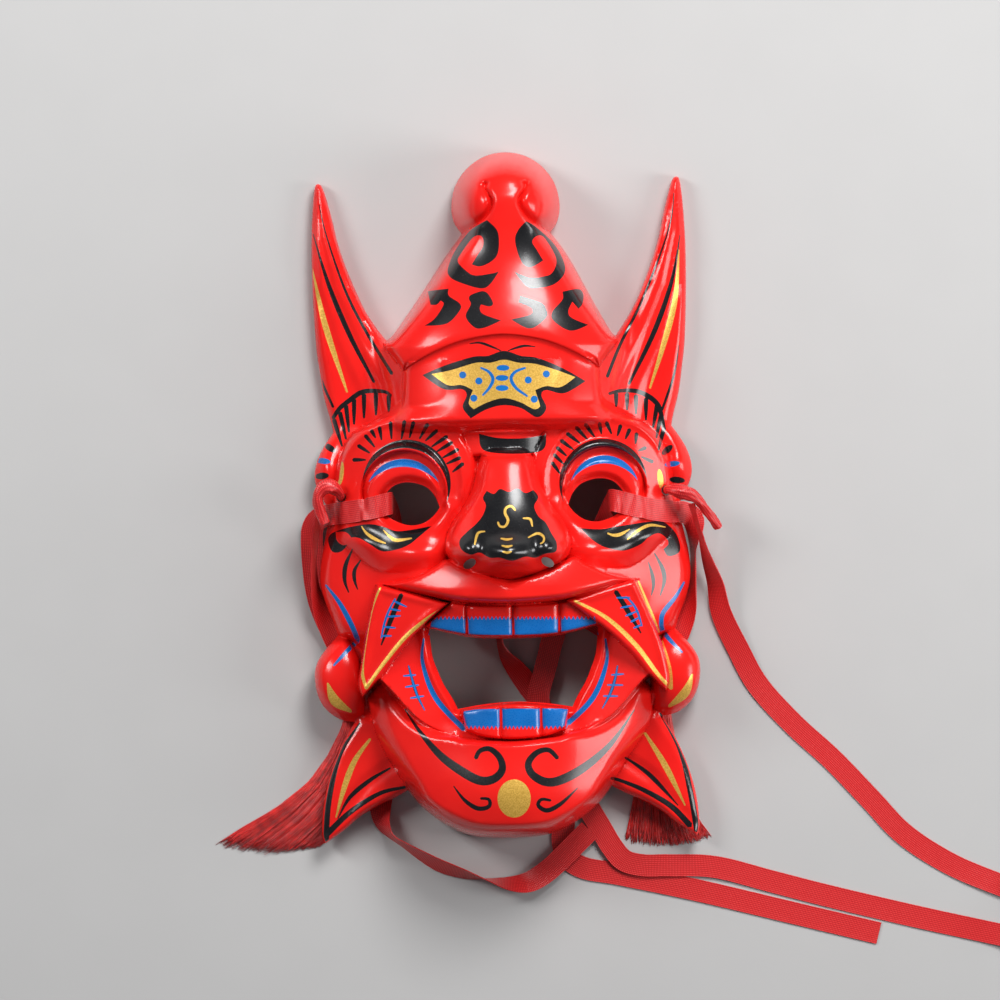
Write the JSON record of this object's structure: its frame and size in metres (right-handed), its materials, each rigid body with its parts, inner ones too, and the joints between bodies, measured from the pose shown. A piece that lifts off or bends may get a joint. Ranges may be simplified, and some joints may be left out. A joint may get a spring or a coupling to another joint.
{
  "type": "theatre mask",
  "caption": "Horned, tusked theatre mask of thin moulded plastic, hollow behind, with flat tie ribbons knotted at the ears and thread tassels.",
  "frame": {"origin": "Middle of the flat land under the chin, on the table the mask lies on.", "axes": "+X across the face to the right of the picture, +Y from the chin to the crown, +Z out of the face; the mask lies on its back rim, face up."},
  "size_m": [0.3539, 0.3395, 0.0758],
  "materials": {
    "red_plastic": "gloss red with painted black, blue and gold ornament",
    "red_ribbon": "satin ribbon",
    "red_thread": "smooth thread"
  },
  "bodies": {
    "root": {"mask_shell": "red_plastic", "right_ribbon": "red_ribbon", "left_ribbon": "red_ribbon", "right_knot": "red_ribbon", "left_knot": "red_ribbon", "right_tassel": "red_thread", "left_tassel": "red_thread"}
  },
  "joints": []
}
